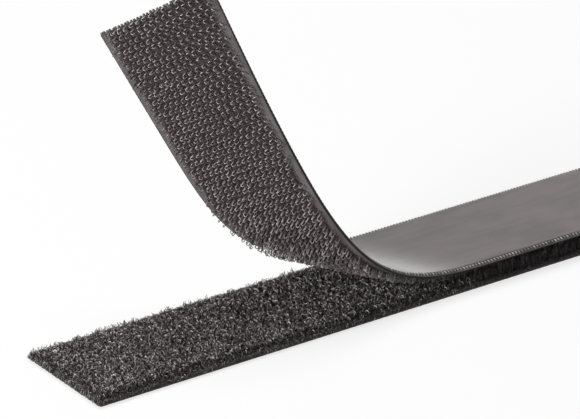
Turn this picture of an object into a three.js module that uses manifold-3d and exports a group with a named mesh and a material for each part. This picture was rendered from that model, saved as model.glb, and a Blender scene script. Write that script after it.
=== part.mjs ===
// Hook and loop tape: two cut strips pressed together, the hook strip peeled open from one corner.
// Millimetres, +Z up. The origin is the centre of the loop strip's underside, and X runs along the tape.
import * as THREE from 'three';
import ManifoldModule from 'manifold-3d';

const wasm = await ManifoldModule();
wasm.setup();

const DEGREE = Math.PI / 180;

// Both strips. X counts from the loop strip's visible cut end, Y from the front edge.
const TAPE_WIDTH = 25;
const LOOP_LENGTH = 137.5;
const HOOK_LENGTH = 137.5;
// How far the hook strip's free end would pass the loop strip's end if it were closed.
const HOOK_OVERHANG = 1.8;

// Loop strip, from its underside upwards.
const LOOP_COAT_THICKNESS = 0.2;
const LOOP_GROUND_THICKNESS = 0.5;
const PILE_HEIGHT = 1.8;
const PILE_EDGE_INSET = 1.3;
const PILE_END_INSET = 0.4;
const PILE_DRAW_IN = 0.5;
const TUFT_PITCH = 1.9;
const TUFT_DEPTH = 0.5;
// Phase steps of the uneven nap, in radians from tuft to tuft.
const NAP_ALONG = 2.4;
const NAP_ACROSS = 2.9;
const NAP_SKEW = 1.1;

// Hook strip, from the hook tips upwards.
const TIP_CLEARANCE = 0.3;
const HOOK_HEIGHT = 1.7;
const HOOK_STEM = 0.95;
const HOOK_TIP_HEIGHT = 0.9;
const HOOK_REACH = 1;
const HOOK_WIRE = 0.5;
const HOOK_ROOT_DEPTH = 0.3;
const HOOK_COLUMNS = 8;
const HOOK_ROW_PITCH = 3.4;
const HOOK_SELVAGE = 1.9;
const HOOK_END_MARGIN = 1.5;
const HOOK_GROUND_THICKNESS = 0.55;
const BOND_LINE = 0.05;
const HOOK_COAT_THICKNESS = 0.2;
const COAT_EDGE_INSET = 0.3;

// Selvage cord: the thicker woven edge of either ground, standing out on its working side.
const CORD_WIDTH = 0.9;
const CORD_STAND = 0.25;
const CORD_BEVEL = 0.3;

// The peel: a diagonal bend, then a curl of the free end's front corner. Places are on the centreline.
const BEND_CENTRE = 58.5;
const BEND_RUN = 65.4;
const BEND_TURN = 83.4 * DEGREE;
const BEND_LEAN = 30.3 * DEGREE;
const CURL_ONSET = 21;
const CURL_LEAN = 64 * DEGREE;
const CURL_RADIUS = 30;

// The flexible bend is cut into short links, which turn on each other about the fold lines.
const PEEL_LINKS = 8;
const LINK_GAP = 0.3;
const FACET_STEP = 2.2;
const CURVE_STEP = 0.25;
const TIP_DIVISIONS = 5;

// Places that follow from the sizes above.
const centreline = TAPE_WIDTH / 2;
const loopGroundTop = LOOP_COAT_THICKNESS + LOOP_GROUND_THICKNESS;
const pileTop = loopGroundTop + PILE_HEIGHT;
const hookSeat = pileTop + TIP_CLEARANCE + HOOK_HEIGHT + HOOK_GROUND_THICKNESS;
const freeEnd = -HOOK_OVERHANG;
const matedEnd = HOOK_LENGTH - HOOK_OVERHANG;
const bendStart = BEND_CENTRE + BEND_RUN / 2;
const bendLength = BEND_RUN * Math.cos(BEND_LEAN);

const coatMaterial = new THREE.MeshStandardMaterial({ color: '#838486', roughness: 0.45, metalness: 0 });
const groundMaterial = new THREE.MeshStandardMaterial({ color: '#2c2c2e', roughness: 0.85, metalness: 0 });
const pileMaterial = new THREE.MeshStandardMaterial({ color: '#3b3936', roughness: 1, metalness: 0 });

// Distances of a flat point across and along a fold line that crosses the centreline at `start`.
function toFold(point, start, lean) {
  const x = point.x - start;
  const y = point.y - centreline;
  return {
    across: x * Math.cos(lean) + y * Math.sin(lean),
    along: x * Math.sin(lean) - y * Math.cos(lean),
  };
}

function fromFold(across, along, height, start, lean) {
  const x = start + across * Math.cos(lean) + along * Math.sin(lean);
  const y = centreline + across * Math.sin(lean) - along * Math.cos(lean);
  return new THREE.Vector3(x, y, height);
}

// Share of the bend's turn that is made after `length` of tape: curvature swells and dies as a bell.
function bendShare(length) {
  const u = THREE.MathUtils.clamp((2 * length) / bendLength - 1, -1, 1);
  return (u + 1) / 2 + Math.sin(Math.PI * u) / (2 * Math.PI);
}

// Side view of the bend: how far the tape has run, risen and turned after `length` past its start.
function bendCurve(length) {
  const bent = Math.min(length, bendLength);
  const steps = Math.max(1, Math.ceil(bent / CURVE_STEP));
  const step = bent / steps;
  let run = 0;
  let rise = 0;
  for (let i = 0; i < steps; i += 1) {
    const turn = BEND_TURN * bendShare((i + 0.5) * step);
    run += step * Math.cos(turn);
    rise += step * Math.sin(turn);
  }
  const turn = BEND_TURN * bendShare(bent);
  const straight = length - bent;
  return { run: run + straight * Math.cos(turn), rise: rise + straight * Math.sin(turn), turn };
}

function curlCorner(point) {
  const { across, along } = toFold(point, CURL_ONSET, CURL_LEAN);
  if (across >= 0) return point;
  const turn = -across / CURL_RADIUS;
  const radius = CURL_RADIUS - point.z;
  const height = CURL_RADIUS - radius * Math.cos(turn);
  return fromFold(-radius * Math.sin(turn), along, height, CURL_ONSET, CURL_LEAN);
}

function peelBack(point) {
  const { across, along } = toFold(point, bendStart, BEND_LEAN);
  if (across >= 0) return point;
  const { run, rise, turn } = bendCurve(-across);
  const height = rise + point.z * Math.cos(turn);
  return fromFold(-run + point.z * Math.sin(turn), along, height, bendStart, BEND_LEAN);
}

// Takes a point of the flat hook strip, with z = 0 on top of its ground, to where the peel carries it.
function peel(x, y, z) {
  const point = peelBack(curlCorner(new THREE.Vector3(x, y, z)));
  point.z += hookSeat;
  return point;
}

// Lines across the flat strip, each giving X for a given Y.
const squareLine = (x) => () => x;
const foldLine = (place) => (y) => place - (y - centreline) * Math.tan(BEND_LEAN);
const lineBetween = (from, to, share) => (y) => from(y) + (to(y) - from(y)) * share;

// Where each link hinges: every hinge stands for an equal share of the bend's turn.
function hingePlace(index) {
  const share = (index + 0.5) / PEEL_LINKS;
  let low = 0;
  let high = bendLength;
  while (high - low > 1e-6) {
    const middle = (low + high) / 2;
    if (bendShare(middle) < share) low = middle;
    else high = middle;
  }
  return bendStart - low / Math.cos(BEND_LEAN);
}

const hingePlaces = Array.from({ length: PEEL_LINKS }, (_, index) => hingePlace(index));
const halfGap = LINK_GAP / 2 / Math.cos(BEND_LEAN);

// Cross-lines from `from` to `to`, both included, close enough together for the facets to follow the bend.
function stretch(from, to) {
  const reach = Math.abs(to(centreline) - from(centreline));
  const steps = Math.max(1, Math.ceil(reach / FACET_STEP));
  return Array.from({ length: steps + 1 }, (_, i) => lineBetween(from, to, i / steps));
}

// Link 0 is the mated length, the last link is the free tail.
function linkLines(link) {
  if (link === 0) {
    const hinge = foldLine(hingePlaces[0] + halfGap);
    return [squareLine(matedEnd), ...stretch(foldLine(bendStart), hinge)];
  }
  const from = foldLine(hingePlaces[link - 1] - halfGap);
  if (link === PEEL_LINKS) return stretch(from, squareLine(freeEnd));
  return stretch(from, foldLine(hingePlaces[link] + halfGap));
}

// A strip's section from two chains of [y, z] points, both running from the front edge to the back.
// Its end faces zip the chains together, so that they stay true where the peel curves the section.
function stripSection(under, over) {
  const points = [...under, ...over.toReversed()];
  const overIndex = (j) => points.length - 1 - j;
  const faces = [];
  let i = 0;
  let j = 0;
  while (i + 1 < under.length || j + 1 < over.length) {
    const underNext = i + 1 < under.length ? under[i + 1][0] : Infinity;
    const overNext = j + 1 < over.length ? over[j + 1][0] : Infinity;
    if (underNext <= overNext) {
      faces.push([i, i + 1, overIndex(j)]);
      i += 1;
    } else {
      faces.push([i, overIndex(j + 1), overIndex(j)]);
      j += 1;
    }
  }
  return { points, faces };
}

function evenPlaces(from, to, divisions) {
  return Array.from({ length: divisions + 1 }, (_, i) => from + ((to - from) * i) / divisions);
}

// Section of a ground fabric: flat at z = 0, with a cord along both edges of the working side.
function groundSection(thickness, side, divisions) {
  const deep = side * (thickness + CORD_STAND);
  const shallow = side * thickness;
  const cordIn = CORD_WIDTH + CORD_BEVEL;
  const edge = [
    [0, side * CORD_BEVEL],
    [0, shallow],
    [CORD_BEVEL, deep],
    [CORD_WIDTH, deep],
  ];
  const farEdge = edge.map(([y, z]) => [TAPE_WIDTH - y, z]).toReversed();
  const middle = evenPlaces(cordIn, TAPE_WIDTH - cordIn, divisions).map((y) => [y, shallow]);
  const back = evenPlaces(CORD_BEVEL, TAPE_WIDTH - CORD_BEVEL, divisions).map((y) => [y, 0]);
  return stripSection([...edge, ...middle, ...farEdge], back);
}

function coatSection(bottom, thickness, divisions) {
  const places = evenPlaces(COAT_EDGE_INSET, TAPE_WIDTH - COAT_EDGE_INSET, divisions);
  const over = places.map((y) => [y, bottom + thickness]);
  const under = places.map((y) => [y, bottom]);
  return stripSection(over, under);
}

// Closed solid through rings of points, every ring in the order of the section's own points.
function loft(section, rings) {
  const count = section.points.length;
  const positions = rings.flat().flatMap((point) => [point.x, point.y, point.z]);
  const indices = [];
  for (let ring = 0; ring + 1 < rings.length; ring += 1) {
    for (let i = 0; i < count; i += 1) {
      const a = ring * count + i;
      const b = ring * count + ((i + 1) % count);
      indices.push(a, b, b + count, a, b + count, a + count);
    }
  }
  const last = (rings.length - 1) * count;
  for (const [a, b, c] of section.faces) {
    indices.push(a, c, b, last + a, last + b, last + c);
  }
  return facingOut(positions, indices);
}

// Indexed geometry with its faces turned outwards, by the sign of its volume.
function facingOut(positions, indices) {
  const corner = (index) => new THREE.Vector3().fromArray(positions, 3 * index);
  let volume = 0;
  for (let i = 0; i < indices.length; i += 3) {
    const [a, b, c] = [corner(indices[i]), corner(indices[i + 1]), corner(indices[i + 2])];
    volume += a.dot(b.cross(c));
  }
  const geometry = new THREE.BufferGeometry();
  geometry.setAttribute('position', new THREE.Float32BufferAttribute(positions, 3));
  geometry.setIndex(volume > 0 ? indices : indices.toReversed());
  return geometry;
}

function toSolid(geometry) {
  const vertProperties = Float32Array.from(geometry.getAttribute('position').array);
  const triVerts = Uint32Array.from(geometry.getIndex().array);
  return new wasm.Manifold(new wasm.Mesh({ numProp: 3, vertProperties, triVerts }));
}

function fromSolid(solid) {
  const { vertProperties, triVerts } = solid.getMesh();
  const geometry = new THREE.BufferGeometry();
  geometry.setAttribute('position', new THREE.Float32BufferAttribute(vertProperties, 3));
  geometry.setIndex(Array.from(triVerts));
  return geometry;
}

// A strip's solid along the given cross-lines, carried round the peel.
function peeledStrip(section, lines) {
  const rings = lines.map((line) => section.points.map(([y, z]) => peel(line(y), y, z)));
  return loft(section, rings);
}

// One hook of bent monofilament, three-sided: it stands on the ground and bends over along Y.
function hook(x, y, towards) {
  const base = -HOOK_GROUND_THICKNESS;
  const radius = HOOK_WIRE / 2;
  const path = [
    new THREE.Vector2(0, base + HOOK_ROOT_DEPTH),
    new THREE.Vector2(0, base - HOOK_STEM),
    new THREE.Vector2(HOOK_REACH / 2, base - HOOK_HEIGHT + radius),
    new THREE.Vector2(HOOK_REACH, base - HOOK_TIP_HEIGHT),
  ];
  const points = [0, 1, 2].map((corner) => {
    const angle = Math.PI + (corner * 2 * Math.PI) / 3;
    return [radius * Math.cos(angle), radius * Math.sin(angle)];
  });
  const rings = path.map((point, i) => {
    const before = path[Math.max(0, i - 1)];
    const after = path[Math.min(path.length - 1, i + 1)];
    const heading = after.clone().sub(before).normalize();
    return points.map(([out, side]) => {
      const across = point.x - heading.y * out;
      const depth = point.y + heading.x * out;
      return peel(x + side, y + towards * across, depth);
    });
  });
  return loft({ points, faces: [[0, 1, 2]] }, rings);
}

// Roots of all hooks on the flat strip, as { place, y, towards }: columns face each other in pairs.
function hookRoots() {
  const across = TAPE_WIDTH - 2 * HOOK_SELVAGE;
  const length = HOOK_LENGTH - 2 * HOOK_END_MARGIN;
  const rows = Math.floor(length / HOOK_ROW_PITCH) + 1;
  const firstRow = freeEnd + HOOK_END_MARGIN + (length - (rows - 1) * HOOK_ROW_PITCH) / 2;
  const roots = [];
  for (let row = 0; row < rows; row += 1) {
    for (let column = 0; column < HOOK_COLUMNS; column += 1) {
      const y = HOOK_SELVAGE + (across * column) / (HOOK_COLUMNS - 1);
      const towards = column % 2 === 0 ? 1 : -1;
      const x = firstRow + row * HOOK_ROW_PITCH;
      roots.push({ place: x + (y - centreline) * Math.tan(BEND_LEAN), y, towards });
    }
  }
  return roots;
}

// Hooks that stand on one link, moved along the tape where they would straddle a cut.
function linkHooks(link) {
  const clear = halfGap + HOOK_WIRE + HOOK_REACH * Math.tan(BEND_LEAN);
  const high = link === 0 ? Infinity : hingePlaces[link - 1];
  const low = link === PEEL_LINKS ? -Infinity : hingePlaces[link];
  return hookRoots()
    .filter(({ place }) => place > low && place <= high)
    .map(({ place, y, towards }) => {
      const seat = THREE.MathUtils.clamp(place, low + clear, high - clear);
      return hook(foldLine(seat)(y), y, towards);
    });
}

function hookFabric(link) {
  const divisions = link === PEEL_LINKS ? TIP_DIVISIONS : 1;
  const section = groundSection(HOOK_GROUND_THICKNESS, -1, divisions);
  const ground = toSolid(peeledStrip(section, linkLines(link)));
  return fromSolid(linkHooks(link).reduce((solid, piece) => solid.add(toSolid(piece)), ground));
}

function hookCoating(link) {
  const divisions = link === PEEL_LINKS ? TIP_DIVISIONS : 1;
  return peeledStrip(coatSection(BOND_LINE, HOOK_COAT_THICKNESS, divisions), linkLines(link));
}

// A flat, square-cut strip of constant section, with its underside at `seat`.
function flatStrip(section, seat) {
  const ends = [0, LOOP_LENGTH];
  const ring = (x) => section.points.map(([y, z]) => new THREE.Vector3(x, y, z + seat));
  return loft(section, ends.map(ring));
}

// The napped pile: an uneven tufted top and drawn-in sides on a flat foot.
function loopPile() {
  const length = LOOP_LENGTH - 2 * PILE_END_INSET;
  const width = TAPE_WIDTH - 2 * PILE_EDGE_INSET;
  const columns = Math.max(2, Math.round(length / TUFT_PITCH));
  const rows = Math.max(2, Math.round(width / TUFT_PITCH));
  const rings = [];
  for (let i = 0; i <= columns; i += 1) {
    const x = PILE_END_INSET + (length * i) / columns;
    const ring = [new THREE.Vector3(x, PILE_EDGE_INSET, loopGroundTop)];
    for (let j = 0; j <= rows; j += 1) {
      const nap = Math.sin(NAP_ALONG * i + NAP_SKEW * j) * Math.sin(NAP_ACROSS * j - NAP_SKEW * i);
      const atSide = j === 0 || j === rows;
      const fall = TUFT_DEPTH * (0.5 - 0.5 * nap) + (atSide ? TUFT_DEPTH : 0);
      const share = PILE_DRAW_IN + ((width - 2 * PILE_DRAW_IN) * j) / rows;
      ring.push(new THREE.Vector3(x, PILE_EDGE_INSET + share, pileTop - fall));
    }
    ring.push(new THREE.Vector3(x, PILE_EDGE_INSET + width, loopGroundTop));
    rings.push(ring);
  }
  const contour = rings[0].map((point) => new THREE.Vector2(point.y, point.z));
  const ends = THREE.ShapeUtils.triangulateShape(contour, []);
  const faces = ends.map((face) => face.toSorted((a, b) => a - b));
  return loft({ points: contour, faces }, rings);
}

const tape = new THREE.Group();
tape.position.set(-LOOP_LENGTH / 2, -centreline, 0);

function addPiece(name, geometry, material) {
  const flat = geometry.toNonIndexed();
  flat.computeVertexNormals();
  const mesh = new THREE.Mesh(flat, material);
  mesh.name = name;
  tape.add(mesh);
}

addPiece('loop_back_coating', flatStrip(coatSection(0, LOOP_COAT_THICKNESS, 1), 0), coatMaterial);
const loopGround = groundSection(LOOP_GROUND_THICKNESS, 1, 1);
addPiece('loop_ground', flatStrip(loopGround, LOOP_COAT_THICKNESS), groundMaterial);
addPiece('loop_pile', loopPile(), pileMaterial);

for (let link = 0; link <= PEEL_LINKS; link += 1) {
  const place = link === 0 ? 'mated' : link === PEEL_LINKS ? 'tail' : `bend_${link}`;
  addPiece(`hook_fabric_${place}`, hookFabric(link), groundMaterial);
  addPiece(`hook_coating_${place}`, hookCoating(link), coatMaterial);
}

// Hinge axes of the links, in the model's own frame: half-way through the ground, along each fold line.
tape.userData.peelHinges = hingePlaces.map((place) => {
  const point = peel(place, centreline, -HOOK_GROUND_THICKNESS / 2).add(tape.position);
  const axis = new THREE.Vector3(-Math.sin(BEND_LEAN), Math.cos(BEND_LEAN), 0);
  return { point, axis };
});

export default tape;
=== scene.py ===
# Hook and loop tape: two cut strips pressed together, the hook strip peeled open from one corner.
# Sizes are millimetres on the flat tape: x from the loop strip's left cut end, y from the front edge,
# z up from the table. They turn into the part's own frame, in metres, as each mesh is made.
import math

import bpy
import numpy as np
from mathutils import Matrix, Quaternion, Vector


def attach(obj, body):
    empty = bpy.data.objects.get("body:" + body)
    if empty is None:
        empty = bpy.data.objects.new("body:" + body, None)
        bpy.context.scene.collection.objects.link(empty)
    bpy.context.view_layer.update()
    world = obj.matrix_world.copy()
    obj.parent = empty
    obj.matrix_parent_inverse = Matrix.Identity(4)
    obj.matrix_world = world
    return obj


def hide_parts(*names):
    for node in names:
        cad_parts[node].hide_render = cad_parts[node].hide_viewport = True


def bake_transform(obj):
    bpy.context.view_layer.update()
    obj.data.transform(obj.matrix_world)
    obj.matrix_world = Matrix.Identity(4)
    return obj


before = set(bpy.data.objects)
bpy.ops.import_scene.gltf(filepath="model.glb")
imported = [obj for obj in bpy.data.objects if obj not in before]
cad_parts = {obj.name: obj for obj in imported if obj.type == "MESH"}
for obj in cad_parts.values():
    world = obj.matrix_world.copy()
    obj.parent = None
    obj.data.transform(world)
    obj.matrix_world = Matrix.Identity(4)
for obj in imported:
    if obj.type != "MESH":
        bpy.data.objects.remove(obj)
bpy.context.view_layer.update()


# Loop strip, back coating: a thin film of flexible resin on the underside of the woven strip. It is
# spread on wet and cured, so it locks the yarns, and the weave shows through it faintly.
TAPE_WIDTH = 25.0
LOOP_LENGTH = 137.5
FILM_TOP = 0.2
FILM_INSET = 0.3
END_FRAY = 0.25
FILM_STEP = 0.5
FILM_RIPPLE = 0.015
WARP_PITCH = 0.55
WEFT_PITCH = 0.45
CLOUD_SEED = 23.8
MILLIMETRE = 0.001
VECTOR, FLOAT = "NodeSocketVector", "NodeSocketFloat"


def add_object(name, data):
    """A new object in the scene."""
    made = bpy.data.objects.new(name, data)
    bpy.context.scene.collection.objects.link(made)
    return made


def to_frame(points):
    """Tape millimetres to the part's frame in metres: the origin is the middle of the underside."""
    return (np.asarray(points, float) - (LOOP_LENGTH / 2, TAPE_WIDTH / 2, 0.0)) * MILLIMETRE


def make_piece(name, points, faces, groups, map_name, places, finish):
    """A smooth mesh object. faces is a list of index arrays, one for each number of corners, groups
    numbers the faces that shade as one surface, and places fills its UV map, corner by corner."""
    mesh = bpy.data.meshes.new(name)
    corners = np.concatenate([part.ravel() for part in faces]).astype(np.int32)
    sizes = np.concatenate([np.full(len(part), part.shape[1]) for part in faces])
    starts = np.concatenate([[0], np.cumsum(sizes)[:-1]]).astype(np.int32)
    mesh.vertices.add(len(points))
    mesh.vertices.foreach_set("co", to_frame(points).astype(np.float32).ravel())
    mesh.loops.add(len(corners))
    mesh.polygons.add(len(sizes))
    mesh.polygons.foreach_set("loop_start", starts)
    mesh.polygons.foreach_set("vertices", corners)
    mesh.polygons.foreach_set("use_smooth", np.ones(len(sizes), bool))
    mesh.update(calc_edges=True)
    layer = mesh.uv_layers.new(name=map_name, do_init=False)
    layer.uv.foreach_set("vector", places.astype(np.float32).ravel())
    edges = np.empty(len(corners), np.int32)
    mesh.loops.foreach_get("edge_index", edges)
    by_corner = np.repeat(groups, sizes)
    lowest = np.full(len(mesh.edges), len(sizes))
    highest = np.full(len(mesh.edges), -1)
    np.minimum.at(lowest, edges, by_corner)
    np.maximum.at(highest, edges, by_corner)
    sharp = mesh.attributes.new("sharp_edge", "BOOLEAN", "EDGE")
    sharp.data.foreach_set("value", lowest != highest)
    mesh.materials.append(finish)
    return add_object(name, mesh)


def strip_shell(rows, columns):
    """Faces and face groups of the closed shell between two grids [along x, across y] of points."""
    top = np.arange(rows * columns).reshape(rows, columns)
    low = top + rows * columns

    def quads(a, b, c, d):
        return np.stack([a.ravel(), b.ravel(), c.ravel(), d.ravel()], 1)

    sides = [
        quads(top[:-1, :-1], top[1:, :-1], top[1:, 1:], top[:-1, 1:]),
        quads(low[:-1, :-1], low[:-1, 1:], low[1:, 1:], low[1:, :-1]),
        quads(low[:-1, 0], low[1:, 0], top[1:, 0], top[:-1, 0]),
        quads(low[1:, -1], low[:-1, -1], top[:-1, -1], top[1:, -1]),
        quads(low[0, 1:], low[0, :-1], top[0, :-1], top[0, 1:]),
        quads(low[-1, :-1], low[-1, 1:], top[-1, 1:], top[-1, :-1]),
    ]
    groups = np.repeat(np.arange(len(sides)), [len(side) for side in sides])
    return np.concatenate(sides), groups


def shell_piece(name, flat, over, under, finish, shape=None):
    """A closed strip of cloth or film over a grid of flat places, from its height under to over, which
    shape may then bend. Its map "tape" holds each point's place on the flat tape."""
    faces, groups = strip_shell(*flat.shape[:2])
    heights = [np.broadcast_to(height, flat.shape[:2]) for height in (over, under)]
    points = np.concatenate([np.dstack([flat, height]).reshape(-1, 3) for height in heights])
    places = np.concatenate([flat.reshape(-1, 2)] * 2)[faces.ravel()]
    if shape is not None:
        points = shape(points)
    return make_piece(name, points, [faces], groups, "tape", places, finish)


def flat_grid(along, across):
    """Flat places [along x, across y]."""
    return np.stack(np.meshgrid(along, across, indexing="ij"), 2)


def spaced(start, end, step):
    return np.linspace(start, end, max(2, int(round(abs(end - start) / step)) + 1))


def set_inputs(tree, node, inputs):
    """Gives a node's inputs, by name or number, their values or the sockets that feed them."""
    for socket, value in inputs.items():
        if isinstance(value, bpy.types.NodeSocket):
            tree.links.new(value, node.inputs[socket])
        else:
            node.inputs[socket].default_value = value


def add_node(tree, kind, inputs=None, **settings):
    """A new shader node with those settings and inputs."""
    made = tree.nodes.new(kind)
    for key, value in settings.items():
        setattr(made, key, value)
    set_inputs(tree, made, inputs or {})
    return made


def maths(tree, operation, *values):
    return add_node(tree, "ShaderNodeMath", dict(enumerate(values)), operation=operation).outputs[0]


def weighted(tree, first, *others):
    """The sum of pairs of a socket and its weight."""
    total = maths(tree, "MULTIPLY", *first)
    for socket, weight in others:
        total = maths(tree, "MULTIPLY_ADD", socket, weight, total)
    return total


def mixed_colour(tree, share, dark, light):
    """Colour from dark to light by share, as a socket."""
    mix = add_node(tree, "ShaderNodeMix", {0: share, 6: dark, 7: light}, data_type="RGBA")
    return mix.outputs[2]


def vector_maths(tree, operation, inputs):
    return add_node(tree, "ShaderNodeVectorMath", inputs, operation=operation).outputs[0]


def ranged(tree, value, low, high, from_low=0.0, from_high=1.0):
    """A value's range moved to low and high, held at both ends."""
    inputs = {0: value, 1: from_low, 2: from_high, 3: low, 4: high}
    return add_node(tree, "ShaderNodeMapRange", inputs, clamp=True).outputs[0]


def new_effect(name, inputs, outputs):
    """An empty shader node group with its sockets, and its input and output nodes."""
    group = bpy.data.node_groups.new(name, "ShaderNodeTree")
    for way, sockets in (("INPUT", inputs), ("OUTPUT", outputs)):
        for socket, kind in sockets.items():
            group.interface.new_socket(socket, in_out=way, socket_type=kind)
    return group, group.nodes.new("NodeGroupInput"), group.nodes.new("NodeGroupOutput")


def use_effect(tree, group, **inputs):
    """The outputs of an effect placed in a material's own tree."""
    return add_node(tree, "ShaderNodeGroup", inputs, node_tree=group).outputs


def mapped(tree, name):
    """Places on a piece, by one of its UV maps."""
    return add_node(tree, "ShaderNodeUVMap", uv_map=name).outputs[0]


def set_look(tree, shader, colour, roughness, specular=0.5):
    looks = {"Base Color": colour, "Roughness": roughness, "Specular IOR Level": specular}
    set_inputs(tree, shader, looks)


def set_relief(tree, shader, height, strength, distance=0.00006):
    """Fine relief that stands out by that distance in metres."""
    inputs = {"Height": height, "Strength": strength, "Distance": distance}
    bump = add_node(tree, "ShaderNodeBump", inputs)
    tree.links.new(bump.outputs[0], shader.inputs["Normal"])


def new_finish(name):
    """A material with an empty Principled shader, and its tree."""
    material = bpy.data.materials.new(name)
    material.use_nodes = True
    tree = material.node_tree
    tree.nodes.clear()
    shader = add_node(tree, "ShaderNodeBsdfPrincipled")
    add_node(tree, "ShaderNodeOutputMaterial", {0: shader.outputs[0]})
    return material, tree, shader


# The weave's relief, as yarn crowns and the gaps between them.
woven_relief, relief_in, relief_out = new_effect("woven_relief", {"Place": VECTOR}, {"Crown": FLOAT})
relief_place = add_node(woven_relief, "ShaderNodeSeparateXYZ", {0: relief_in.outputs["Place"]})
waves = []
for axis, pitch in enumerate((WEFT_PITCH, WARP_PITCH)):
    turns = maths(woven_relief, "DIVIDE", relief_place.outputs[axis], pitch)
    angle = maths(woven_relief, "MULTIPLY", turns, math.pi)
    waves.append(maths(woven_relief, "ABSOLUTE", maths(woven_relief, "SINE", angle)))
crown = maths(woven_relief, "POWER", maths(woven_relief, "MULTIPLY", *waves), 0.6)
woven_relief.links.new(crown, relief_out.inputs["Crown"])

# Soft, uneven clouds of tone, drawn out along the tape as far as their two sizes say.
cloudy_tone, cloud_in, cloud_out = new_effect(
    "cloudy_tone", {"Place": VECTOR, "Along": FLOAT, "Across": FLOAT, "Seed": FLOAT}, {"Tone": FLOAT}
)
cloud_sizes = {0: cloud_in.outputs["Along"], 1: cloud_in.outputs["Across"], 2: 1.0}
cloud_size = add_node(cloudy_tone, "ShaderNodeCombineXYZ", cloud_sizes).outputs[0]
cloud_seed = add_node(cloudy_tone, "ShaderNodeCombineXYZ", {2: cloud_in.outputs["Seed"]}).outputs[0]
cloud_place = vector_maths(cloudy_tone, "DIVIDE", {0: cloud_in.outputs["Place"], 1: cloud_size})
cloud_place = vector_maths(cloudy_tone, "ADD", {0: cloud_place, 1: cloud_seed})
cloud_noise = add_node(
    cloudy_tone, "ShaderNodeTexNoise", {"Vector": cloud_place, "Scale": 1.0, "Detail": 3.0}
)
cloudy_tone.links.new(cloud_noise.outputs["Fac"], cloud_out.inputs["Tone"])


def clouded(tree, place, along, across, seed=0.0):
    return use_effect(tree, cloudy_tone, Place=place, Along=along, Across=across, Seed=seed)["Tone"]


def warm_grey(level, warmth=0.15):
    """A dyed grey of that brightness, on the red side, as all of the tape is: the darker, the redder."""
    red = min(warmth * (0.3 / level) ** 0.4, 0.8)
    return (level * (1 + 0.7 * red), level * (1 - 0.3 * red), level * (1 - 0.28 * red), 1.0)


def resin_finish(name, dark, light, roughness):
    """Satin resin over cloth: clouded, streaked along the tape, with the weave showing through."""
    material, tree, shader = new_finish(name)
    place = mapped(tree, "tape")
    clouds = clouded(tree, place, 12.0, 6.0, CLOUD_SEED)
    streaks = clouded(tree, place, 40.0, 1.8)
    grain = clouded(tree, place, 0.35, 0.25)
    crown = use_effect(tree, woven_relief, Place=place)["Crown"]
    share = weighted(tree, (clouds, 0.65), (streaks, 0.2), (grain, 0.15))
    colour = mixed_colour(tree, ranged(tree, share, 0.0, 1.0, 0.4, 0.6), dark, light)
    gloss = weighted(tree, (clouds, 0.5), (grain, 0.5))
    gloss = ranged(tree, gloss, roughness - 0.05, roughness + 0.07, 0.35, 0.65)
    set_look(tree, shader, colour, gloss, 0.43)
    set_relief(tree, shader, weighted(tree, (grain, 0.5), (crown, 0.25), (streaks, 0.3)), 0.5)
    return material


film_finish = resin_finish("loop_back_film", warm_grey(0.035), warm_grey(0.06), 0.5)
film_flat = flat_grid(
    spaced(END_FRAY, LOOP_LENGTH - END_FRAY, FILM_STEP),
    spaced(FILM_INSET, TAPE_WIDTH - FILM_INSET, FILM_STEP),
)
film_under = FILM_RIPPLE * (1 + np.sin(np.pi * film_flat / (2 * FILM_STEP)).prod(axis=2))
loop_film = shell_piece("loop_back_film", film_flat, FILM_TOP, film_under, film_finish)
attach(loop_film, "loop_strip")
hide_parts("loop_back_coating")


# Loop strip, ground: a plain weave of dark nylon yarn that carries the pile. Both edges are selvages,
# with heavier warp cords, and the cut ends are left raw.
GROUND_THICKNESS = 0.5
GROUND_EDGE = 0.05
CORD_WIDTH = 1.2
CORD_STAND = 0.2
GROUND_STEP = 0.4
RIB_PITCH = 0.5
RIB_DEPTH = 0.035
RIB_NOTCH = 0.35
NOTCH_PITCH = 0.9
RIBBED_BAND = 2.4
RIBBED_STEP = 0.125
PLAIN_STEP = 0.5
FACE_ROUND = 0.2
BACK_ROUND = 0.4


def across_tape():
    """Places across the tape, closer together on the selvages, where the ribs show."""
    front = spaced(GROUND_EDGE, RIBBED_BAND, RIBBED_STEP)
    middle = spaced(RIBBED_BAND, TAPE_WIDTH - RIBBED_BAND, PLAIN_STEP)[1:-1]
    return np.concatenate([front, middle, TAPE_WIDTH - front[::-1]])


def from_edge(y):
    return np.minimum(y, TAPE_WIDTH - y)


def cord_swell(y):
    """How far the selvage cords stand out, falling away to nothing inside the edge."""
    share = np.clip(1 - (from_edge(y) - GROUND_EDGE) / CORD_WIDTH, 0, 1)
    return CORD_STAND * np.sin(share * np.pi / 2) ** 0.7


def edge_round(y, radius=FACE_ROUND):
    """How far a face falls back where the cloth's edge is rounded."""
    inside = np.clip((from_edge(y) - GROUND_EDGE) / radius, 0, 1)
    return radius * (1 - np.sqrt(1 - (1 - inside) ** 2))


def ribs(x, y):
    """Warp ribs of the selvages, notched where the weft crosses them."""
    rib = np.abs(np.sin(np.pi * y / RIB_PITCH)) ** 0.7
    return RIB_DEPTH * rib * (1 + RIB_NOTCH * np.sin(2 * np.pi * x / NOTCH_PITCH))


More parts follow.
